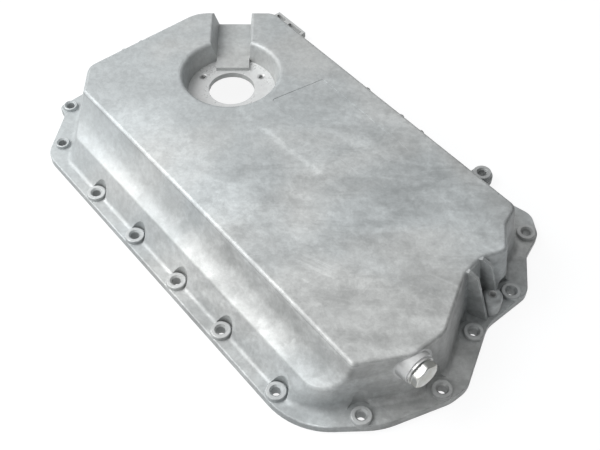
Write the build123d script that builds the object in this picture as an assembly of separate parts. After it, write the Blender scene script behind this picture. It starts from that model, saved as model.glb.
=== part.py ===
from build123d import *
from math import atan2, cos, hypot, radians, sin, tan
import os

# Shallow die-cast engine oil pan, lying on its gasket face with its bottom up.
# X runs from the far end to the drain plug end, Y from the long straight side to the other side.
# Millimetres. Places are shares of the length and width, counted from the far corner of the straight side.

# Overall sizes
length = 438.0
width = 283.5
depth = 56.0
wall = 4.0
flange_thickness = 7.0
flange_edge_round = 1.0
overrun = 1.0

# Corner radii of the outlines seen from above
crisp_corner = 4.0
tight_corner = 8.0
small_corner = 14.0
medium_corner = 22.0
wide_corner = 30.0
broad_corner = 36.0
large_corner = 58.0

# Long stepped side
foot_inset = 6.3
foot_round = 5.0
ledge_height = 26.0
ledge_inset = 22.7
ridge_inset = 44.0
ridge_round = 3.5
ridge_cove_radius = 33.0
top_edge_round = 3.2

# Flange screws
hole_radius = 3.5
hole_bevel_radius = 4.9
collar_foot_radius = 8.5
collar_top_radius = 7.7
collar_round = 0.9
collar_height = 3.0
small_collar_radius = 6.8
screw_edge_distance = 8.6
row_pitch = 58.4
row_count = 4
row_start_share = 0.2593
pocket_clearance = 0.6
end_pocket_clearance = 3.2
pocket_height = 19.0
pocket_dome = 5.0

# Level sensor seat and its cable channel
sensor_x_share = 0.2454
sensor_y_share = 0.5467
recess_depth = 19.0
recess_edge_round = 4.5
recess_draft = 10.0
seat_radius = 38.0
sensor_bore_radius = 20.0
sensor_plate = 5.0
sensor_screw_circle_radius = 29.5
sensor_screw_count = 3
sensor_screw_radius = 2.5
sensor_screw_depth = 9.0
sensor_screw_boss_radius = 6.0
sensor_screw_boss_depth = 7.0
corner_angle = 141.0
channel_width = 29.0
channel_step = 3.5
channel_start = 23.0
channel_length = 110.0
channel_edge_round = 2.5
channel_draft = 6.0
channel_wide_draft = 16.0

# Drain plug and its boss
plug_y_share = 0.2970
plug_height = 41.0
plug_boss_root_radius = 14.8
plug_boss_face_radius = 12.7
plug_boss_face_share = 0.9553
plug_boss_length = 20.0
plug_boss_round = 0.7
plug_bore_radius = 7.0
plug_clearance = 0.05
plug_shank_length = 21.0
plug_shank_bevel = 1.2
plug_hex_width = 19.0
plug_head_height = 6.5
plug_head_bevel = 1.0
plug_bevel_angle = 30.0
washer_radius = 11.8
washer_thickness = 1.5
washer_clearance = 0.25

# Stiffening ribs and the tapped pad between them
rib_thickness = 3.2
rib_shoulder = 7.5
rib_shoulder_drop = 5.5
rib_root = 9.0
rib_top_drop = 0.6
pad_radius = 8.0
pad_height = 25.0
pad_round = 4.0
pad_hole_radius = 2.5
pad_hole_depth = 12.0

# Corner lug with two open cells
lug_wall = 2.4
lug_base = 4.0
lug_height = 10.0
lug_web = 6.0

# Half-round ribs on the far wall and the back wall
bead_radius = 3.5
far_bead_reach = 5.5
back_bead_reach = 4.0
bead_top_drop = 8.0

# Shallow sunken panel in the bottom
panel_depth = 0.35
panel_round = 3.0

# Ear at the middle of the far side
ear_radius = 9.2

# Gasket flange outline: share of length, share of width, corner radius
flange_shares = [
    (0.000, 0.230, wide_corner),
    (0.004, 0.136, crisp_corner),
    (0.031, 0.130, tight_corner),
    (0.108, 0.000, medium_corner),
    (0.879, 0.000, large_corner),
    (0.965, 0.176, large_corner),
    (1.000, 0.360, wide_corner),
    (1.000, 0.418, medium_corner),
    (0.935, 0.595, medium_corner),
    (0.933, 0.752, small_corner),
    (0.876, 0.843, tight_corner),
    (0.856, 0.924, small_corner),
    (0.815, 0.966, small_corner),
    (0.760, 0.945, small_corner),
    (0.119, 0.945, medium_corner),
    (0.000, 0.720, medium_corner),
]

# Body outline at the bottom face and at the foot of the walls.
# Both lists turn the same corners, so a straight run joins each pair.
# Corners with no share of the width lie on the long side's sloping wall.
crown_shares = [
    (0.0537, 0.2290, small_corner),
    (0.1188, 0.0000, tight_corner),
    (0.8953, 0.0000, tight_corner),
    (0.9453, 0.2910, small_corner),
    (0.9453, 0.3950, small_corner),
    (0.8843, 0.5570, small_corner),
    (0.8773, 0.6240, small_corner),
    (0.8943, 0.6950, tight_corner),
    (0.8533, 0.7580, small_corner),
    (0.8363, 0.8250, tight_corner),
    (0.1543, 0.8250, small_corner),
    (0.0525, 0.6330, wide_corner),
]
foot_shares = [
    (0.0354, 0.1800, small_corner),
    (0.1587, 0.0000, small_corner),
    (0.8600, 0.0000, broad_corner),
    (0.9603, 0.3050, small_corner),
    (0.9603, 0.4050, small_corner),
    (0.9003, 0.5640, small_corner),
    (0.8943, 0.6280, small_corner),
    (0.9108, 0.7055, tight_corner),
    (0.8668, 0.7760, small_corner),
    (0.8493, 0.8520, tight_corner),
    (0.1473, 0.8520, small_corner),
    (0.0354, 0.6395, wide_corner),
]

# Screws off the straight row, those with full collars and those with small ones
ear_screw_shares = (0.6855, 0.9675)
row_end_share = 0.8109
collar_shares = [
    ear_screw_shares,
    (0.9316, 0.1510),
    (0.9783, 0.3577),
    (0.9323, 0.5425),
    (0.9146, 0.7140),
    (0.8402, 0.8995),
    (0.5850, 0.9130),
    (0.4660, 0.9130),
    (0.3340, 0.9130),
    (0.2000, 0.9130),
    (0.0560, 0.7690),
    (0.0200, 0.5300),
    (0.0200, 0.3300),
]
small_collar_shares = [(0.0205, 0.1616), (0.1027, 0.0580)]

# Rib roots at the top of the end wall and their feet on the flange, tapped pad, panel, beads, lug
rib_shares = [((0.8848, 0.5700), (0.9283, 0.6015)), ((0.8803, 0.6265), (0.9188, 0.6595))]
pad_shares = (0.9133, 0.6330)
panel_shares = [(0.3583, 0.5660), (0.3753, 0.7430), (0.6243, 0.7420), (0.6103, 0.5730)]
far_bead_shares = [0.3620, 0.4250]
back_bead_shares = [0.4416, 0.5377, 0.5920]
lug_shares = ((0.0560, 0.9000), (0.1470, 0.9650))
lug_split_share = 0.42


def place(shares, z=0.0):
    """Point at a share of the length and of the width."""
    return (length * shares[0], width * shares[1], z)


def outline(rows):
    """Closed face through the corners of a table, each corner rounded by its own radius."""
    points = [place(row) for row in rows]
    radii = [row[2] for row in rows]
    return make_face(FilletPolyline(*points, radius=radii, close=True))


def upright(x, y, radius, low, high):
    """Upright cylinder between two heights."""
    return Pos(x, y, low) * extrude(Circle(radius), amount=high - low)


# Body


def side_inset(z):
    """How far the long side's lower wall stands in from the flange edge at a height."""
    return foot_inset + (ledge_inset - foot_inset) * z / ledge_height


def side_section(inset):
    """Section across the pan over its long side: hollow slope and flat bottom, moved in by inset."""
    ledge = (ledge_inset, ledge_height)
    ridge = (ridge_inset, depth)
    run = hypot(ridge[0] - ledge[0], ridge[1] - ledge[1])
    slope = atan2(ridge[1] - ledge[1], ridge[0] - ledge[0])
    rise = (ridge_cove_radius**2 - (run / 2)**2)**0.5
    centre = (
        (ledge[0] + ridge[0]) / 2 - rise * sin(slope),
        (ledge[1] + ridge[1]) / 2 + rise * cos(slope),
    )
    lowest = (centre[0], centre[1] - ridge_cove_radius)
    brow = Polyline((-width, lowest[1]), lowest)
    cove = ThreePointArc(lowest, ledge, ridge)
    rest = Polyline(ridge, (2 * width, depth), (2 * width, -depth), (-width, -depth), (-width, lowest[1]))
    section = make_face([brow, cove, rest])
    vertex = section.vertices().sort_by_distance(Vector(*ridge))[0]
    section = fillet(vertex, ridge_round)
    if inset:
        section = offset(section, amount=-inset, kind=Kind.INTERSECTION)
    return section


def side_prism(inset):
    """The section swept along the whole length."""
    plane = Plane(origin=(-length, 0, 0), x_dir=(0, 1, 0), z_dir=(1, 0, 0))
    return extrude(plane * side_section(inset), amount=3 * length)


def body_outline(rows, z):
    """Outline of the body; its corners on the long side follow that side's slope."""
    low = side_inset(z)
    points = [(length * row[0], max(width * row[1], low), 0) for row in rows]
    radii = [row[2] for row in rows]
    return make_face(FilletPolyline(*points, radius=radii, close=True))


def body_block(inset):
    """Outline from foot to crown, trimmed by the stepped side; inset makes the room inside the walls."""
    foot = body_outline(foot_shares, 0)
    crown = body_outline(crown_shares, depth)
    if inset:
        foot = offset(foot, amount=-inset, kind=Kind.INTERSECTION)
        crown = offset(crown, amount=-inset, kind=Kind.INTERSECTION)
    tower = loft([foot, Pos(0, 0, depth - inset) * crown], ruled=True)
    return tower & side_prism(inset)


def is_rim_edge(edge):
    """True on the edges round the bottom face and the ledge, the long ridge left out."""
    box = edge.bounding_box()
    on_ridge = box.size.X > length / 2 and ledge_inset + wall < box.min.Y < ridge_inset + wall
    return box.min.Z > ledge_height - wall and not on_ridge


def rounded_body():
    """Outer body with the edge round its bottom face rounded."""
    body = body_block(0.0)
    rim = [edge for edge in body.edges() if is_rim_edge(edge)]
    return fillet(rim, top_edge_round)


def flange_face():
    """Gasket flange outline with the ear that stands out of its far side."""
    x, y, _ = place(ear_screw_shares)
    ear = Pos(x, y) * Circle(ear_radius)
    ear += Pos(x, y - ear_radius) * Rectangle(2 * ear_radius, 2 * ear_radius)
    return outline(flange_shares) + ear


def flange_top_edges(shape, flange, on_rim):
    """Level edges at the top of the flange: its own rim, or else the foot of the walls."""
    chosen = []
    for edge in shape.edges():
        box = edge.bounding_box()
        if max(abs(box.min.Z - flange_thickness), abs(box.max.Z - flange_thickness)) > wall / 100:
            continue
        middle = edge @ 0.5
        under = Vertex(middle.X, middle.Y, 0)
        gap = min(side.distance_to(under) for side in flange.edges())
        if (gap < wall / 4) == on_rim:
            chosen.append(edge)
    return chosen


def body_on_flange():
    """Body on its flange, with a cove where they meet and a rounded rim."""
    flange = flange_face()
    shape = rounded_body() + extrude(flange, amount=flange_thickness)
    shape = fillet(flange_top_edges(shape, flange, False), foot_round)
    return fillet(flange_top_edges(shape, flange, True), flange_edge_round)


# Flange screws


def row_screws():
    """Centres along the straight side: the evenly spaced ones and the last one by itself."""
    along = [length * row_start_share + row_pitch * i for i in range(row_count)]
    return [(x, screw_edge_distance) for x in along + [length * row_end_share]]


def end_screws():
    """Centres of the other full collars."""
    return [place(shares)[:2] for shares in collar_shares]


def small_screws():
    """Centres of the small collars."""
    return [place(shares)[:2] for shares in small_collar_shares]


def pocket(x, y, radius, low, extra):
    """Domed room for a screw head and its tool; extra adds the wall round it."""
    top = flange_thickness + pocket_height + extra
    post = upright(x, y, radius + extra, low, top)
    return fillet(post.edges().group_by(Axis.Z)[-1], pocket_dome)


def pockets(low, extra):
    """Pockets of all the screws."""
    row_radius = collar_foot_radius + pocket_clearance
    end_radius = collar_foot_radius + end_pocket_clearance
    small_radius = small_collar_radius + pocket_clearance
    return (
        [pocket(x, y, row_radius, low, extra) for x, y in row_screws()]
        + [pocket(x, y, end_radius, low, extra) for x, y in end_screws()]
        + [pocket(x, y, small_radius, low, extra) for x, y in small_screws()]
    )


def collar(x, y, foot_radius):
    """Raised seat under a screw head."""
    low = flange_thickness - wall / 2
    high = flange_thickness + collar_height
    top_radius = foot_radius - collar_foot_radius + collar_top_radius
    post = Pos(x, y, (low + high) / 2) * Cone(foot_radius, top_radius, high - low)
    return fillet(post.edges().group_by(Axis.Z)[-1], collar_round)


def collars():
    """Collars of all the screws."""
    full = [collar(x, y, collar_foot_radius) for x, y in row_screws() + end_screws()]
    small = [collar(x, y, small_collar_radius) for x, y in small_screws()]
    return full + small


def screw_hole(x, y):
    """Clearance hole with a bevelled mouth."""
    high = flange_thickness + collar_height
    hole = upright(x, y, hole_radius, -overrun, high + overrun)
    bevel = hole_bevel_radius - hole_radius
    return hole + Pos(x, y, high - bevel / 2) * Cone(hole_radius, hole_bevel_radius, bevel)


# Level sensor seat and cable channel


def recess_floor():
    """Height of the machined sensor seat."""
    return depth - recess_depth


def sunken_half(half_width, low, draft, edge_round):
    """Half section of a sunken shape: floor, drafted wall and rounded mouth."""
    knee = half_width + (depth - edge_round - low) * tan(radians(draft))
    lip = knee + edge_round
    bend = edge_round * sin(radians(45))
    side = Polyline((0, low), (half_width, low), (knee, depth - edge_round))
    mouth = ThreePointArc(
        (knee, depth - edge_round), (lip - bend, depth - edge_round + bend), (lip, depth)
    )
    rest = Polyline((lip, depth), (lip, depth + overrun), (0, depth + overrun), (0, low))
    return make_face([side, mouth, rest])


def bowl(extra, plate):
    """Round recess over the seat; extra and plate make the shell round it."""
    x, y, _ = place((sensor_x_share, sensor_y_share))
    half = sunken_half(seat_radius + extra, recess_floor() - plate, recess_draft, recess_edge_round)
    return Pos(x, y) * revolve(Plane.XZ * half, Axis.Z)


def channel_plane(reach):
    """Upright plane across the channel, at a distance from the sensor centre."""
    x, y, _ = place((sensor_x_share, sensor_y_share))
    turn = radians(corner_angle)
    origin = (x + reach * cos(turn), y + reach * sin(turn), 0)
    return Plane(origin=origin, x_dir=(-sin(turn), cos(turn), 0), z_dir=(cos(turn), sin(turn), 0))


def trough(extra):
    """Cable channel out through the corner wall; extra makes the shell round it."""
    start = channel_start - extra
    half_width = channel_width / 2 + extra
    low = recess_floor() + channel_step - extra
    wide_half = sunken_half(half_width, low, channel_wide_draft, channel_edge_round)
    steep_half = sunken_half(half_width, low, channel_draft, channel_edge_round)
    section = wide_half + mirror(steep_half, about=Plane.YZ)
    return extrude(channel_plane(start) * section, amount=channel_length - start)


def channel_sill():
    """Block that carries the channel floor a little way over the seat."""
    high = recess_floor() + channel_step
    section = Pos(0, high / 2) * Rectangle(channel_width, high)
    return extrude(channel_plane(channel_start) * section, amount=seat_radius)


def sensor_screws(radius, low, high):
    """Cylinders on the sensor's screw circle."""
    x, y, _ = place((sensor_x_share, sensor_y_share))
    step = 360 / sensor_screw_count
    posts = []
    for i in range(sensor_screw_count):
        turn = radians(corner_angle + step * (i + 1 / 2))
        spot_x = x + sensor_screw_circle_radius * cos(turn)
        spot_y = y + sensor_screw_circle_radius * sin(turn)
        posts.append(upright(spot_x, spot_y, radius, low, high))
    return posts


def sensor_holes():
    """Bore of the sensor and its blind tapped holes."""
    x, y, _ = place((sensor_x_share, sensor_y_share))
    seat = recess_floor()
    bore = upright(x, y, sensor_bore_radius, seat - sensor_plate - overrun, seat + overrun)
    return [bore] + sensor_screws(sensor_screw_radius, seat - sensor_screw_depth, seat + overrun)


# Drain plug


def plug_plane(x):
    """Plane across the drain plug's axis, facing out, its own X upwards."""
    return Plane(origin=(x, width * plug_y_share, plug_height), x_dir=(0, 0, 1), z_dir=(1, 0, 0))


def plug_round(radius, start, end):
    """Cylinder on the drain plug's axis."""
    return extrude(plug_plane(start) * Circle(radius), amount=end - start)


def plug_boss():
    """Tapered boss that the drain plug screws into."""
    face = length * plug_boss_face_share
    taper = Cone(plug_boss_root_radius, plug_boss_face_radius, plug_boss_length)
    boss = plug_plane(face - plug_boss_length / 2) * taper
    return fillet(boss.edges().group_by(Axis.X)[-1], plug_boss_round)


def plug_bore():
    """Tapped hole right through the boss."""
    face = length * plug_boss_face_share
    return plug_round(plug_bore_radius, face - plug_boss_length - overrun, face + overrun)


def drain_plug_washer():
    """Flat sealing ring under the plug's head."""
    face = length * plug_boss_face_share
    seat = face + washer_thickness
    hole = plug_round(plug_bore_radius + washer_clearance, face - overrun, seat + overrun)
    return plug_round(washer_radius, face, seat) - hole


def drain_plug():
    """Hexagon head screw with its bevelled head and shank."""
    seat = length * plug_boss_face_share + washer_thickness
    corner_radius = plug_hex_width / 3**0.5
    spread = 1 / tan(radians(plug_bevel_angle))
    face_radius = corner_radius - plug_head_bevel * spread
    head = extrude(plug_plane(seat) * RegularPolygon(corner_radius, 6), amount=plug_head_height)
    bevel = Cone(face_radius + plug_head_height * spread, face_radius, plug_head_height)
    head &= plug_plane(seat + plug_head_height / 2) * bevel
    shank = plug_round(plug_bore_radius - plug_clearance, seat - plug_shank_length, seat)
    return head + chamfer(shank.edges().group_by(Axis.X)[0], plug_shank_bevel)


# Small features of the walls


def rib(root, foot):
    """Upright rib from the top of the end wall down to the flange."""
    x, y, _ = place(root)
    end_x, end_y, _ = place(foot)
    reach = hypot(end_x - x, end_y - y)
    ahead = ((end_x - x) / reach, (end_y - y) / reach)
    low = flange_thickness - wall / 2
    profile = Polyline(
        (-rib_root, low),
        (-rib_root, depth - rib_top_drop),
        (0, depth - rib_top_drop),
        (rib_shoulder, depth - rib_shoulder_drop),
        (reach, flange_thickness),
        (reach, low),
        close=True,
    )
    plane = Plane(origin=(x, y, 0), x_dir=(*ahead, 0), z_dir=(ahead[1], -ahead[0], 0))
    return extrude(plane * make_face(profile), amount=rib_thickness / 2, both=True)


def pad():
    """Round pad that carries the small tapped hole."""
    x, y, _ = place(pad_shares)
    post = upright(x, y, pad_radius, flange_thickness - wall / 2, pad_height)
    return fillet(post.edges().group_by(Axis.Z)[-1], pad_round)


def pad_hole():
    """Blind tapped hole in the pad."""
    x, y, _ = place(pad_shares)
    return upright(x, y, pad_hole_radius, pad_height - pad_hole_depth, pad_height + overrun)


def bead(foot, crown):
    """Half-round rib with a round top, on the line from a wall's foot to its crown."""
    axis = (crown - foot).normalized()
    start = foot + axis * (flange_thickness / 2 / axis.Z)
    top = foot + axis * ((depth - bead_top_drop) / axis.Z)
    post = Plane(origin=start, z_dir=axis) * extrude(Circle(bead_radius), amount=(top - start).length)
    return post + Pos(top) * Sphere(bead_radius)


def beads():
    """Half-round ribs of the far wall and of the back wall."""
    far_stand = far_bead_reach - bead_radius
    far_foot = length * foot_shares[0][0] - far_stand
    far_crown = length * crown_shares[0][0] - far_stand
    back_stand = back_bead_reach - bead_radius
    back_foot = width * foot_shares[-2][1] + back_stand
    back_crown = width * crown_shares[-2][1] + back_stand
    far = [
        bead(Vector(far_foot, width * share, 0), Vector(far_crown, width * share, depth))
        for share in far_bead_shares
    ]
    back = [
        bead(Vector(length * share, back_foot, 0), Vector(length * share, back_crown, depth))
        for share in back_bead_shares
    ]
    return far + back


def lug():
    """Corner lug: two open cells with a web between them."""
    low, high = (place(shares) for shares in lug_shares)
    long_side = high[0] - low[0]
    block = upright_box(low[0], low[1], high[0], high[1], lug_base, lug_height)
    split = low[0] + long_side * lug_split_share
    near = low[1] + lug_wall
    far = high[1] - lug_wall
    spans = [
        (low[0] + lug_wall, split - lug_web / 2),
        (split + lug_web / 2, high[0] - lug_wall),
    ]
    top = lug_height + overrun
    cells = [upright_box(left, near, right, far, -overrun, top) for left, right in spans]
    return block, cells


def upright_box(x0, y0, x1, y1, low, high):
    """Block between two corners seen from above and two heights."""
    face = Pos((x0 + x1) / 2, (y0 + y1) / 2, low) * Rectangle(x1 - x0, y1 - y0)
    return extrude(face, amount=high - low)


def panel():
    """Shallow sunken field in the bottom face."""
    points = [place(shares, depth - panel_depth) for shares in panel_shares]
    face = make_face(FilletPolyline(*points, radius=panel_round, close=True))
    return extrude(face, amount=panel_depth + overrun, dir=(0, 0, 1))


def inside_room():
    """Oil space: the body less its walls and what stands in from them."""
    plate = recess_floor() - sensor_plate
    bosses = sensor_screws(sensor_screw_boss_radius, plate - sensor_screw_boss_depth, plate + overrun)
    kept = [bowl(wall, sensor_plate), trough(wall), plug_boss()] + bosses + pockets(-overrun, wall)
    return body_block(wall) - kept


def pan_casting():
    """The whole casting."""
    lug_block, lug_cells = lug()
    added = [rib(root, foot) for root, foot in rib_shares] + beads()
    casting = body_on_flange() + (added + [pad(), plug_boss(), lug_block])
    casting = casting - pockets(flange_thickness, 0.0)
    casting = casting + collars()
    sunken = (bowl(0.0, 0.0) - channel_sill()) + trough(0.0)
    casting = casting - [sunken, panel(), inside_room()]
    holes = [screw_hole(x, y) for x, y in row_screws() + end_screws() + small_screws()]
    return casting - (holes + sensor_holes() + lug_cells + [plug_bore(), pad_hole()])


def main():
    """Every piece in its place, with the middle of the gasket face's box as the origin."""
    centre = Pos(-length / 2, -width / 2, 0)
    pieces = {
        "pan_casting": pan_casting(),
        "drain_plug": drain_plug(),
        "drain_plug_washer": drain_plug_washer(),
    }
    os.makedirs("parts", exist_ok=True)
    for name, piece in pieces.items():
        export_step(centre * piece, f"parts/{name}.step")


main()
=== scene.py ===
import math

import bmesh
import bpy
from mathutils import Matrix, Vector


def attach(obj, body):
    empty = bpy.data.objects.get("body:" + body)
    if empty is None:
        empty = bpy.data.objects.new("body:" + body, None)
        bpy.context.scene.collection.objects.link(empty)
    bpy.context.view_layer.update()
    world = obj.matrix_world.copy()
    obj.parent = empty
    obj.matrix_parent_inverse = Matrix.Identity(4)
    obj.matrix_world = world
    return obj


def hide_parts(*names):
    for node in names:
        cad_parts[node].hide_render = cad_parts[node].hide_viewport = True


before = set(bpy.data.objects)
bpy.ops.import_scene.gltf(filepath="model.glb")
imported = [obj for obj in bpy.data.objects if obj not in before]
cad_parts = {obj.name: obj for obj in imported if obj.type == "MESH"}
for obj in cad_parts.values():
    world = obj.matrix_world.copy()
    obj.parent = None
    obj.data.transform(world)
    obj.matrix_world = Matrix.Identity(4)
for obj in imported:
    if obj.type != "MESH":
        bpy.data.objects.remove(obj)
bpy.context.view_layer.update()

MM = 0.001

# Places on the casting, in metres
SENSOR = (-0.11151, 0.01324)
SEAT_HEIGHT = 0.037
SEAT_RADIUS = 0.038
COLLAR_TOP = 0.010
PLUG_AXIS = (-0.05755, 0.041)
PLUG_HOLE_RADIUS = 0.0070
PLUG_HOLE_INNER_END = 0.170
BOSS_RADIUS = 0.0148
BOSS_WALL_END = 0.184
BOSS_FACE = 0.19942
BOSS_FACE_RADIUS = 0.0128
WASHER_FACE = 0.2009
SMALL_HOLE_RADIUS = 0.0025
SMALL_HOLES = [
    (-0.13906, 0.00267),
    (-0.08859, -0.00533),
    (-0.10690, 0.04238),
    (0.18103, 0.03771),
]

# Marks on the casting, in metres: a pool of painted light, a painted highlight along a crease, a nick, a
# painted shade line and a painted shade band below the ridge, painted highlight and wear on the edges, and
# painted shade in the pockets; the crease runs along y = CREASE_Y + CREASE_SLOPE * x
LIGHT_POOL = (-0.055, -0.092)
CREASE_X = -0.010
CREASE_Y = -0.0048
CREASE_SLOPE = 0.057
NICK = (0.1238, -0.1070)
NICK_RADIUS = 0.0008
SHADE_LINE_HEIGHT = 0.0538
COVE_SHADE_HEIGHT = 0.045
EDGE_HIGHLIGHT_AND_WEAR_BREADTH = 0.0009
POCKET_SHADE_REACH = 0.035

# How far a hole's mask reaches past the hole's wall, and over what breadth it fades, in metres
MASK_EDGE = 0.0002

# Tool marks, in radians a metre
SEAT_MARKS = 4500.0
GASKET_MARKS = 5200.0
HEAD_MARKS = 12000.0
WASHER_MARKS = 14000.0

# Where the turning marks on the plug's end begin along X, in metres
HEAD_MARKS_START = 0.2066

# Colours
SKIN_COOL = (0.500, 0.530, 0.538)
SKIN_WARM = (0.535, 0.547, 0.542)
BARE_METAL_AND_HIGHLIGHT = (0.72, 0.73, 0.73)
ZINC_PALE = (0.66, 0.67, 0.66)
ZINC_WARM = (0.58, 0.58, 0.54)
WASHER_DULL = (0.66, 0.67, 0.67)
WASHER_PALE = (0.78, 0.78, 0.77)
FLOOR_GREY = (0.13, 0.135, 0.14, 1.0)
WHITE = (1.0, 1.0, 1.0, 1.0)

# Thread turns
SMALL_PITCH = 1.0 * MM
PLUG_PITCH = 1.5 * MM

# Drain plug's shank
THREAD_CREST = 6.95 * MM
THREAD_DEPTH = 0.85 * MM
FLANK_SHARE = 1.25
CREST_FLAT_SHARE = 0.1
SHANK_LENGTH = 21.0 * MM
SHANK_TIP = WASHER_FACE - SHANK_LENGTH
LEAD_IN = 1.6 * MM
TIP_TAPER = 1.3 * MM
RUN_OUT = 1.6 * MM
NECK_LENGTH = 1.0 * MM
NECK_SHARE = 0.6

# Drain plug's head
SECTOR = math.radians(60)
HALF_FLATS = 9.5 * MM
HALF_CORNERS = HALF_FLATS / math.cos(SECTOR / 2)
CORNER_CUT = 0.25 * MM
HEAD_HEIGHT = 6.5 * MM
FOOT_RADIUS = 9.2 * MM
LIP_RADIUS = 9.6 * MM
LIP_HEIGHT = 0.2 * MM
BEVEL_HEIGHT = 1.0 * MM
BEVEL_BREADTH = BEVEL_HEIGHT / math.tan(SECTOR / 2)
DISH_STEP = 0.5 * MM
DISH_DEPTH = 0.12 * MM

# Rows and columns of the plug's mesh
SHANK_ROWS = 168
SIDE_ROWS = 8
BEVEL_ROWS = 4
PLUG_STEPS = 96
TURNS = [2 * math.pi * k / PLUG_STEPS for k in range(PLUG_STEPS)]

# Stage, lights and camera
FLOOR_SIZE = 14.0
FLOOR_HEIGHT = -0.0002
FLOOR_GLOW = 0.90
BRIGHT_SIDE = Vector((-0.52, -0.08, 0.85))
LAMP_TARGET = Vector((0.0, 0.0, 0.03))
CAMERA_PLACE = (0.4175, -0.33995, 0.6192)
CAMERA_HEADING = Vector((-0.776, 0.631))
CAMERA_PITCH = math.radians(50.58)


# Node building


class Shader:
    """A material's nodes, made by short calls that return sockets."""

    def __init__(self, name):
        self.material = bpy.data.materials.new(name)
        self.material.use_nodes = True
        self.tree = self.material.node_tree
        self.tree.nodes.clear()
        self.place = self.node("ShaderNodeTexCoord").outputs["Object"]
        self.x, self.y, self.z = self.axes(self.place)

    def node(self, kind, **settings):
        made = self.tree.nodes.new(kind)
        for key, value in settings.items():
            setattr(made, key, value)
        return made

    def put(self, socket, value):
        """Links a socket, or sets a plain value."""
        if isinstance(value, bpy.types.NodeSocket):
            self.tree.links.new(value, socket)
        elif hasattr(socket.default_value, "__len__") and len(socket.default_value) == 4:
            socket.default_value = (*value[:3], 1.0)
        else:
            socket.default_value = value

    def axes(self, vector):
        """The three parts of a vector."""
        made = self.node("ShaderNodeSeparateXYZ")
        self.put(made.inputs[0], vector)
        return made.outputs[0], made.outputs[1], made.outputs[2]

    def math(self, operation, *values, clamp=False):
        made = self.node("ShaderNodeMath", operation=operation, use_clamp=clamp)
        for socket, value in zip(made.inputs, values):
            self.put(socket, value)
        return made.outputs[0]

    def add(self, *values):
        result = values[0]
        for value in values[1:]:
            result = self.math("ADD", result, value)
        return result

    def product(self, *values):
        result = values[0]
        for value in values[1:]:
            result = self.math("MULTIPLY", result, value)
        return result

    def waves(self, value, rate):
        """Sine wave along a value, at a rate in radians a metre."""
        return self.math("SINE", self.math("MULTIPLY", value, rate))

    def distance(self, first, second, point):
        """Distance from a point, in the plane of two axes."""
        across = self.math("SUBTRACT", first, point[0])
        up = self.math("SUBTRACT", second, point[1])
        return self.math("SQRT", self.add(self.product(across, across), self.product(up, up)))

    def ramp(self, value, start, end, low=0.0, high=1.0):
        """Smooth step from low to high as value goes from start to end."""
        made = self.node("ShaderNodeMapRange", interpolation_type="SMOOTHSTEP")
        names = ("Value", "From Min", "From Max", "To Min", "To Max")
        for name, number in zip(names, (value, start, end, low, high)):
            self.put(made.inputs[name], number)
        return made.outputs[0]

    def tint(self, mask, factor):
        """1 where the mask is 0, and the factor where it is 1."""
        return self.ramp(mask, 0.0, 1.0, 1.0, factor)

    def within(self, distance, radius, soft):
        """1 up to the radius, fading to 0 over soft."""
        return self.ramp(distance, radius + soft, radius)

    def near(self, value, centre, reach, soft):
        """1 within reach of the centre, fading to 0 over soft."""
        off = self.math("ABSOLUTE", self.math("SUBTRACT", value, centre))
        return self.within(off, reach, soft)

    def stretched(self, along, across, turn):
        """Object coordinates drawn out along a direction that is turned about Z, in degrees."""
        made = self.node("ShaderNodeMapping", vector_type="TEXTURE")
        self.put(made.inputs["Vector"], self.place)
        made.inputs["Rotation"].default_value = (0.0, 0.0, math.radians(turn))
        made.inputs["Scale"].default_value = (along, across, 1.0)
        return made.outputs[0]

    def noise(self, scale, detail, roughness, distortion=0.0, vector=None):
        made = self.node("ShaderNodeTexNoise")
        self.put(made.inputs["Vector"], vector or self.place)
        made.inputs["Scale"].default_value = scale
        made.inputs["Detail"].default_value = detail
        made.inputs["Roughness"].default_value = roughness
        made.inputs["Distortion"].default_value = distortion
        return made.outputs["Fac"]

    def vein(self, value, breadth):
        """Thin lines where a noise crosses its middle value."""
        return self.near(value, 0.5, 0.0, breadth)

    def edge_mask(self, breadth):
        """1 on edges, from how far a bevel of this breadth would turn the surface."""
        bevel = self.node("ShaderNodeBevel", samples=6)
        bevel.inputs["Radius"].default_value = breadth
        turned = self.node("ShaderNodeVectorMath", operation="DOT_PRODUCT")
        self.put(turned.inputs[0], bevel.outputs[0])
        self.put(turned.inputs[1], self.node("ShaderNodeNewGeometry").outputs["Normal"])
        return self.ramp(turned.outputs["Value"], 0.995, 0.90)

    def openness(self, reach):
        """1 on open faces, lower in pockets and corners."""
        made = self.node("ShaderNodeAmbientOcclusion", samples=6)
        made.inputs["Distance"].default_value = reach
        return made.outputs["AO"]

    def mix(self, share, first, second):
        """First colour where the share is 0, second where it is 1."""
        made = self.node("ShaderNodeMix", data_type="RGBA")
        self.put(made.inputs[0], share)
        self.put(made.inputs[6], first)
        self.put(made.inputs[7], second)
        return made.outputs[2]

    def lighten(self, colour, factor):
        """Colour times a factor that may vary over the surface."""
        made = self.node("ShaderNodeVectorMath", operation="SCALE")
        self.put(made.inputs[0], colour)
        self.put(made.inputs["Scale"], factor)
        return made.outputs[0]

    def bump(self, height, distance, strength, normal=None):
        made = self.node("ShaderNodeBump")
        self.put(made.inputs["Height"], height)
        made.inputs["Distance"].default_value = distance
        self.put(made.inputs["Strength"], strength)
        if normal is not None:
            self.put(made.inputs["Normal"], normal)
        return made.outputs[0]

    def finish(self, colour, roughness, normal, **uniform):
        """Ends the material; the uniform values go to the shader's sockets of those names."""
        surface = self.node("ShaderNodeBsdfPrincipled")
        self.put(surface.inputs["Base Color"], colour)
        self.put(surface.inputs["Roughness"], roughness)
        self.put(surface.inputs["Normal"], normal)
        for name, value in uniform.items():
            surface.inputs[name].default_value = value
        output = self.node("ShaderNodeOutputMaterial")
        self.tree.links.new(surface.outputs[0], output.inputs["Surface"])
        return self.material


# Cast aluminium


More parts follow.
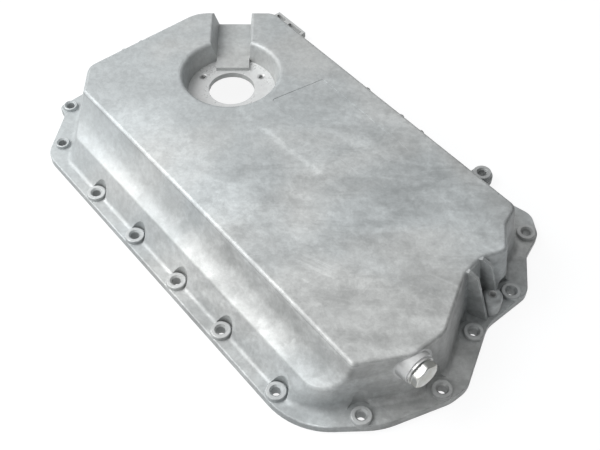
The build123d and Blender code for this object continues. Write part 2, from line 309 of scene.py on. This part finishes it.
def mottling(s, clouds, patches, fine):
    """Clouds, flow marks, veins and drag marks, as a factor on the skin's colour."""
    flow_lines = s.stretched(along=3.4, across=1.0, turn=48.0)
    flow = s.noise(scale=60.0, detail=6.0, roughness=0.62, distortion=0.5, vector=flow_lines)
    folds = s.noise(scale=17.0, detail=5.0, roughness=0.58, distortion=0.4)
    veins = s.vein(folds, breadth=0.045)
    drag_lines = s.stretched(along=12.0, across=0.7, turn=20.0)
    drags = s.noise(scale=90.0, detail=4.0, roughness=0.6, distortion=0.2, vector=drag_lines)
    wear = s.noise(scale=9.0, detail=3.0, roughness=0.5, distortion=0.6)
    scraped = s.product(s.ramp(wear, 0.48, 0.62), s.ramp(drags, 0.56, 0.70))
    tone = s.product(
        s.ramp(clouds, 0.32, 0.68, 0.93, 1.05),
        s.ramp(patches, 0.34, 0.66, 0.92, 1.06),
        s.ramp(flow, 0.40, 0.60, 0.93, 1.05),
        s.tint(veins, 1.05),
        s.tint(scraped, 1.10),
    )
    # Faint at the far end and plain at the plug's end
    plain = s.ramp(s.x, -0.11, 0.05, 0.50, 1.40)
    tone = s.add(1.0, s.product(s.math("SUBTRACT", tone, 1.0), plain))
    return s.product(tone, s.ramp(fine, 0.36, 0.64, 0.92, 1.07))


def painted_light_and_nick(s, patches, facing_up):
    """A pool of painted light along the ridge, a painted highlight along a crease, one small nick and a
    painted shade line just below the ridge.
    """
    # Painted light: a pale pool on the upward faces along the ridge
    light_pool = s.product(
        s.near(s.x, LIGHT_POOL[0], reach=0.050, soft=0.060),
        s.near(s.y, LIGHT_POOL[1], reach=0.012, soft=0.045),
        s.ramp(patches, 0.25, 0.60, 0.45, 1.0),
        facing_up,
    )
    # Painted highlight: a pale streak along a shallow crease in the top
    from_line = s.math("SUBTRACT", s.y, s.product(s.x, CREASE_SLOPE))
    crease_highlight = s.product(
        s.near(from_line, CREASE_Y, reach=0.0005, soft=0.0045),
        s.near(s.x, CREASE_X, reach=0.050, soft=0.020),
        s.ramp(patches, 0.40, 0.60, 0.3, 1.0),
        facing_up,
    )
    nick = s.within(s.distance(s.x, s.y, NICK), NICK_RADIUS, soft=0.0014)
    # Painted shade: a thin dark line just below the ridge, on the side towards -Y
    shade_line = s.product(
        s.near(s.z, SHADE_LINE_HEIGHT, reach=0.0002, soft=0.0003),
        s.ramp(s.y, -0.090, -0.095),
    )
    return s.product(s.tint(light_pool, 1.22), s.tint(crease_highlight, 1.16), s.tint(nick, 1.25), s.tint(shade_line, 0.78))


def painted_shade(s, clouds):
    """Painted shade: a dark band in the cove below the ridge, and darkening in the pockets and corners."""
    # Painted shade: a dark band in the cove below the ridge, cloudy at its edges
    cove_shade = s.product(
        s.near(s.z, COVE_SHADE_HEIGHT, reach=0.004, soft=0.006),
        s.ramp(s.y, -0.094, -0.099),
        s.ramp(s.x, -0.03, 0.05),
        s.ramp(clouds, 0.35, 0.55),
    )
    # Painted shade: darker in pockets and corners, where less light reaches
    pocket_shade = s.ramp(s.openness(POCKET_SHADE_REACH), 0.30, 0.75, 0.76, 1.0)
    return s.product(s.tint(cove_shade, 0.82), pocket_shade)


def edge_highlight_and_wear(s, fine):
    """Painted highlight and wear along the edges, stronger in some spots than in others."""
    uneven = s.ramp(fine, 0.3, 0.6, 0.5, 1.0)
    # Painted highlight and wear: brighter along every edge the bevel finds
    return s.tint(s.product(s.edge_mask(EDGE_HIGHLIGHT_AND_WEAR_BREADTH), uneven), 1.22)


def small_holes(s):
    """Masks of the tapped holes' walls and of the rims round them."""
    walls, rims = 0.0, 0.0
    for place in SMALL_HOLES:
        away = s.distance(s.x, s.y, place)
        walls = s.add(walls, s.within(away, SMALL_HOLE_RADIUS + MASK_EDGE, soft=MASK_EDGE))
        rims = s.add(rims, s.within(away, SMALL_HOLE_RADIUS, soft=0.0013))
    return walls, rims


def machined_faces_and_highlight(s, facing_up, facing_down, from_sensor, from_plug, rims):
    """Mask of the bright faces and of a painted highlight on the boss's side, and the height of the tool's
    marks on two of them.
    """
    seat = s.product(
        s.within(from_sensor, SEAT_RADIUS, soft=0.0006),
        s.near(s.z, SEAT_HEIGHT, reach=0.0003, soft=0.0002),
        facing_up,
    )
    collars = s.product(s.near(s.z, COLLAR_TOP, reach=0.0003, soft=0.0003), facing_up, 0.35)
    gasket = s.product(s.near(s.z, 0.0, reach=0.0002, soft=0.0003), facing_down)
    boss = s.product(
        s.within(from_plug, BOSS_FACE_RADIUS, soft=0.0004),
        s.near(s.x, BOSS_FACE, reach=0.0004, soft=0.0003),
    )
    # Painted highlight: the boss's side next to its face, drawn as bright bare metal
    boss_highlight = s.product(
        s.within(from_plug, BOSS_RADIUS, soft=0.0004),
        s.ramp(s.x, BOSS_WALL_END, BOSS_WALL_END + 0.008),
        0.75,
    )
    mask = s.math("ADD", s.add(seat, boss_highlight, collars, rims, gasket), boss, clamp=True)

    turned = s.waves(from_sensor, SEAT_MARKS)
    milled = s.waves(s.add(s.x, s.product(s.y, 0.3)), GASKET_MARKS)
    return mask, s.add(s.product(seat, turned), s.product(gasket, milled))


def thread_height(s, from_plug, hole_walls):
    """Height of the thread turns in the small tapped holes and in the plug's hole."""
    small = s.product(hole_walls, s.waves(s.z, 2 * math.pi / SMALL_PITCH))
    plug_hole = s.product(
        s.within(from_plug, PLUG_HOLE_RADIUS + MASK_EDGE, soft=MASK_EDGE),
        s.ramp(s.x, PLUG_HOLE_INNER_END, PLUG_HOLE_INNER_END + 0.002),
    )
    return s.add(small, s.product(plug_hole, s.waves(s.x, 2 * math.pi / PLUG_PITCH)))


def cast_aluminium():
    """Die-cast skin with cloudy mottling, marks, painted light and shade, painted highlight and wear on
    the edges, and its machined faces.
    """
    s = Shader("cast_aluminium")
    upward = s.axes(s.node("ShaderNodeNewGeometry").outputs["True Normal"])[2]
    facing_up = s.ramp(upward, 0.90, 0.98)
    facing_down = s.ramp(upward, -0.90, -0.98)
    clouds = s.noise(scale=15.0, detail=4.0, roughness=0.55, distortion=0.3)
    patches = s.noise(scale=52.0, detail=8.0, roughness=0.70, distortion=0.45)
    fine = s.noise(scale=240.0, detail=6.0, roughness=0.72, distortion=0.2)
    grain = s.noise(scale=900.0, detail=3.0, roughness=0.6)
    hue = s.noise(scale=7.0, detail=3.0, roughness=0.5, distortion=0.4)

    # The tone holds painted light and shade as well as the skin's own marks
    tone = s.product(
        mottling(s, clouds, patches, fine),
        painted_light_and_nick(s, patches, facing_up),
        painted_shade(s, clouds),
        edge_highlight_and_wear(s, fine),
    )
    skin = s.lighten(s.mix(s.ramp(hue, 0.40, 0.62), SKIN_COOL, SKIN_WARM), tone)

    from_sensor = s.distance(s.x, s.y, SENSOR)
    from_plug = s.distance(s.y, s.z, PLUG_AXIS)
    hole_walls, rims = small_holes(s)
    machined_and_highlight, tool_marks = machined_faces_and_highlight(s, facing_up, facing_down, from_sensor, from_plug, rims)
    # Bare metal on the machined faces, also used for the painted highlight on the boss's side
    bright = s.lighten(BARE_METAL_AND_HIGHLIGHT, s.ramp(fine, 0.2, 0.8, 0.92, 1.05))
    colour = s.mix(machined_and_highlight, skin, bright)

    rough = s.add(s.ramp(patches, 0.3, 0.7, 0.58, 0.46), s.ramp(fine, 0.3, 0.7, -0.05, 0.05))
    rough = s.math("SUBTRACT", rough, s.product(machined_and_highlight, 0.20), clamp=True)

    # The cast skin's bumps stop at the machined faces and at the painted highlight on the boss's side
    cast = s.math("SUBTRACT", 1.0, machined_and_highlight, clamp=True)
    skin_height = s.add(s.product(grain, 0.35), fine)
    rim_height = s.product(s.math("SUBTRACT", 1.0, rims), facing_up)
    turns = thread_height(s, from_plug, hole_walls)
    bumped = s.bump(skin_height, distance=0.00025, strength=s.product(cast, 0.45))
    bumped = s.bump(patches, distance=0.0010, strength=s.product(cast, 0.25), normal=bumped)
    bumped = s.bump(tool_marks, distance=0.00001, strength=0.2, normal=bumped)
    bumped = s.bump(rim_height, distance=0.0008, strength=1.0, normal=bumped)
    bumped = s.bump(turns, distance=0.0003, strength=0.9, normal=bumped)
    return s.finish(colour, rough, bumped, Metallic=0.32, IOR=1.5)


# Plug and washer metals


def plated_steel():
    """Bright zinc on the drain plug, a little streaky, with turning marks on its end."""
    s = Shader("plated_steel")
    clouds = s.noise(scale=140.0, detail=4.0, roughness=0.6, distortion=0.5)
    fine = s.noise(scale=900.0, detail=3.0, roughness=0.6)
    colour = s.mix(s.ramp(clouds, 0.35, 0.70), ZINC_PALE, ZINC_WARM)
    rough = s.ramp(clouds, 0.3, 0.7, 0.36, 0.48)
    turned = s.waves(s.distance(s.y, s.z, PLUG_AXIS), HEAD_MARKS)
    on_end = s.ramp(s.x, HEAD_MARKS_START, HEAD_MARKS_START + 0.0003)
    bumped = s.bump(s.add(s.product(fine, 0.5), clouds), distance=0.0002, strength=0.35)
    bumped = s.bump(s.product(turned, on_end), distance=0.00001, strength=0.5, normal=bumped)
    return s.finish(colour, rough, bumped, Metallic=0.9)


def washer_aluminium():
    """Turned soft washer."""
    s = Shader("washer_aluminium")
    fine = s.noise(scale=500.0, detail=4.0, roughness=0.6)
    colour = s.mix(s.ramp(fine, 0.3, 0.7), WASHER_DULL, WASHER_PALE)
    rough = s.ramp(fine, 0.3, 0.7, 0.32, 0.42)
    turned = s.waves(s.distance(s.y, s.z, PLUG_AXIS), WASHER_MARKS)
    bumped = s.bump(fine, distance=0.0001, strength=0.3)
    bumped = s.bump(turned, distance=0.00001, strength=0.6, normal=bumped)
    return s.finish(colour, rough, bumped, Metallic=0.85)


def dress(node, material):
    """Gives a CAD node one material in every slot."""
    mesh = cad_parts[node].data
    mesh.materials.clear()
    mesh.materials.append(material)


# Drain plug


def ring(bm, x, points):
    """Row of vertices across the plug's axis at a height along it."""
    return [bm.verts.new((x, PLUG_AXIS[0] + a, PLUG_AXIS[1] + b)) for a, b in points]


def skin_between(bm, rows):
    """Faces between each row and the next, all of equal length."""
    for first, second in zip(rows, rows[1:]):
        for i in range(len(first)):
            j = (i + 1) % len(first)
            bm.faces.new((first[i], first[j], second[j], second[i]))


def shank_radius(x, turn_share):
    """Radius of the threaded shank at a place along it and a share of a turn round it."""
    lead_in = min(1.0, (x - SHANK_TIP) / LEAD_IN)
    run_out = min(1.0, max(0.0, (WASHER_FACE - NECK_LENGTH - x) / RUN_OUT))
    tooth = abs(2 * ((x / PLUG_PITCH - turn_share) % 1.0) - 1)
    cut = THREAD_DEPTH * min(1.0, max(0.0, FLANK_SHARE * tooth - CREST_FLAT_SHARE))
    neck = (1 - run_out) * THREAD_DEPTH * NECK_SHARE
    return THREAD_CREST - cut * run_out - neck - (1 - lead_in) * TIP_TAPER


def shank(bm):
    """Shank with real thread turns, a tapered tip and a neck below the head."""
    rows = []
    for i in range(SHANK_ROWS + 1):
        x = SHANK_TIP + SHANK_LENGTH * i / SHANK_ROWS
        radii = [shank_radius(x, k / PLUG_STEPS) for k in range(PLUG_STEPS)]
        points = [(radius * math.cos(turn), radius * math.sin(turn)) for radius, turn in zip(radii, TURNS)]
        rows.append(ring(bm, x, points))
    skin_between(bm, rows)
    bm.faces.new(rows[0][::-1])


def hexagon(cap):
    """Radii of the head's outline, blunt at the corners and no more than the cap."""
    sectors = [turn % SECTOR - SECTOR / 2 for turn in TURNS]
    return [min(HALF_FLATS / math.cos(sector), HALF_CORNERS - CORNER_CUT, cap) for sector in sectors]


def head_row(bm, height, radii):
    """Row of the head at a height above the washer, with one corner straight up."""
    points = [(radius * math.sin(turn), radius * math.cos(turn)) for radius, turn in zip(radii, TURNS)]
    return ring(bm, WASHER_FACE + height, points[::-1])


def head(bm):
    """Hexagon head, narrowed at its foot, bevelled at its end and slightly dished there."""
    bevel_start = HEAD_HEIGHT - BEVEL_HEIGHT
    rows = [head_row(bm, 0.0, hexagon(FOOT_RADIUS)), head_row(bm, LIP_HEIGHT, hexagon(LIP_RADIUS))]
    for i in range(1, SIDE_ROWS):
        height = LIP_HEIGHT + (HEAD_HEIGHT - LIP_HEIGHT) * i / SIDE_ROWS
        rows.append(head_row(bm, min(height, bevel_start), hexagon(HALF_CORNERS)))
    for i in range(1, BEVEL_ROWS + 1):
        share = i / BEVEL_ROWS
        cap = HALF_CORNERS - BEVEL_BREADTH * share
        rows.append(head_row(bm, bevel_start + BEVEL_HEIGHT * share, hexagon(cap)))
    end_radius = HALF_CORNERS - BEVEL_BREADTH
    rows.append(head_row(bm, HEAD_HEIGHT, [end_radius - DISH_STEP] * PLUG_STEPS))
    rows.append(head_row(bm, HEAD_HEIGHT - DISH_DEPTH, [end_radius - 2 * DISH_STEP] * PLUG_STEPS))
    skin_between(bm, rows)
    bm.faces.new(rows[-1])


def drain_plug(material):
    """Hexagon head plug with real thread turns, in place of the plain CAD one."""
    bm = bmesh.new()
    shank(bm)
    head(bm)
    bmesh.ops.recalc_face_normals(bm, faces=bm.faces)
    mesh = bpy.data.meshes.new("drain_plug_threaded")
    bm.to_mesh(mesh)
    bm.free()
    piece = bpy.data.objects.new("drain_plug_threaded", mesh)
    bpy.context.scene.collection.objects.link(piece)
    mesh.materials.append(material)
    for face in mesh.polygons:
        face.use_smooth = True
    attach(piece, "plug")
    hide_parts("drain_plug")


# Floor, room, lamps and camera


def white_for_camera(tree, strength):
    """Emission seen by camera, glossy and transmission rays alone."""
    nodes, links = tree.nodes, tree.links
    path = nodes.new("ShaderNodeLightPath")
    seen = path.outputs["Is Camera Ray"]
    for ray in ("Is Glossy Ray", "Is Transmission Ray"):
        either = nodes.new("ShaderNodeMath")
        either.operation = "MAXIMUM"
        links.new(seen, either.inputs[0])
        links.new(path.outputs[ray], either.inputs[1])
        seen = either.outputs[0]
    scaled = nodes.new("ShaderNodeMath")
    scaled.operation = "MULTIPLY"
    links.new(seen, scaled.inputs[0])
    scaled.inputs[1].default_value = strength
    return scaled.outputs[0]


def make_floor():
    bpy.ops.mesh.primitive_plane_add(size=FLOOR_SIZE, location=(0.0, 0.0, FLOOR_HEIGHT))
    floor = bpy.context.object
    floor.name = "floor"
    material = bpy.data.materials.new("floor")
    material.use_nodes = True
    tree = material.node_tree
    surface = tree.nodes["Principled BSDF"]
    surface.inputs["Base Color"].default_value = FLOOR_GREY
    surface.inputs["Roughness"].default_value = 0.9
    surface.inputs["Emission Color"].default_value = WHITE
    tree.links.new(white_for_camera(tree, FLOOR_GLOW), surface.inputs["Emission Strength"])
    floor.data.materials.append(material)


def make_world():
    """Soft studio room, brighter above the far end and darker low down at the plug's end."""
    world = bpy.data.worlds.new("studio")
    bpy.context.scene.world = world
    world.use_nodes = True
    nodes, links = world.node_tree.nodes, world.node_tree.links
    background = nodes["Background"]
    background.inputs["Color"].default_value = WHITE

    dot = nodes.new("ShaderNodeVectorMath")
    dot.operation = "DOT_PRODUCT"
    links.new(nodes.new("ShaderNodeTexCoord").outputs["Generated"], dot.inputs[0])
    dot.inputs[1].default_value = BRIGHT_SIDE.normalized()
    spread = nodes.new("ShaderNodeMapRange")
    spread.interpolation_type = "SMOOTHSTEP"
    links.new(dot.outputs["Value"], spread.inputs["Value"])
    spread.inputs["From Min"].default_value = -0.10
    spread.inputs["From Max"].default_value = 1.0
    spread.inputs["To Min"].default_value = 0.03
    spread.inputs["To Max"].default_value = 0.66

    # The camera itself sees white
    strength = nodes.new("ShaderNodeMix")
    strength.data_type = "FLOAT"
    links.new(nodes.new("ShaderNodeLightPath").outputs["Is Camera Ray"], strength.inputs[0])
    links.new(spread.outputs[0], strength.inputs[2])
    strength.inputs[3].default_value = 1.0
    links.new(strength.outputs[0], background.inputs["Strength"])


def add_lamp(name, place, size, power):
    data = bpy.data.lights.new(name, "AREA")
    data.shape = "DISK"
    data.size = size
    data.energy = power
    lamp = bpy.data.objects.new(name, data)
    bpy.context.scene.collection.objects.link(lamp)
    lamp.location = place
    lamp.rotation_euler = (LAMP_TARGET - Vector(place)).to_track_quat("-Z", "Y").to_euler()


def make_camera():
    data = bpy.data.cameras.new("camera")
    camera = bpy.data.objects.new("camera", data)
    bpy.context.scene.collection.objects.link(camera)
    data.lens = 58.5
    data.sensor_width = 36.0
    data.clip_start = 0.01
    camera.location = CAMERA_PLACE
    level = CAMERA_HEADING.normalized() * math.cos(CAMERA_PITCH)
    look = Vector((level.x, level.y, -math.sin(CAMERA_PITCH)))
    camera.rotation_euler = look.to_track_quat("-Z", "Y").to_euler()
    bpy.context.scene.camera = camera


make_camera()
make_world()
make_floor()
add_lamp("key", place=(-0.45, -0.48, 0.72), size=0.70, power=7.2)
add_lamp("fill", place=(0.45, -0.85, 0.50), size=0.40, power=1.7)

dress("pan_casting", cast_aluminium())
dress("drain_plug_washer", washer_aluminium())
plug_finish = plated_steel()
dress("drain_plug", plug_finish)
drain_plug(plug_finish)

bpy.context.scene.view_settings.view_transform = "Standard"
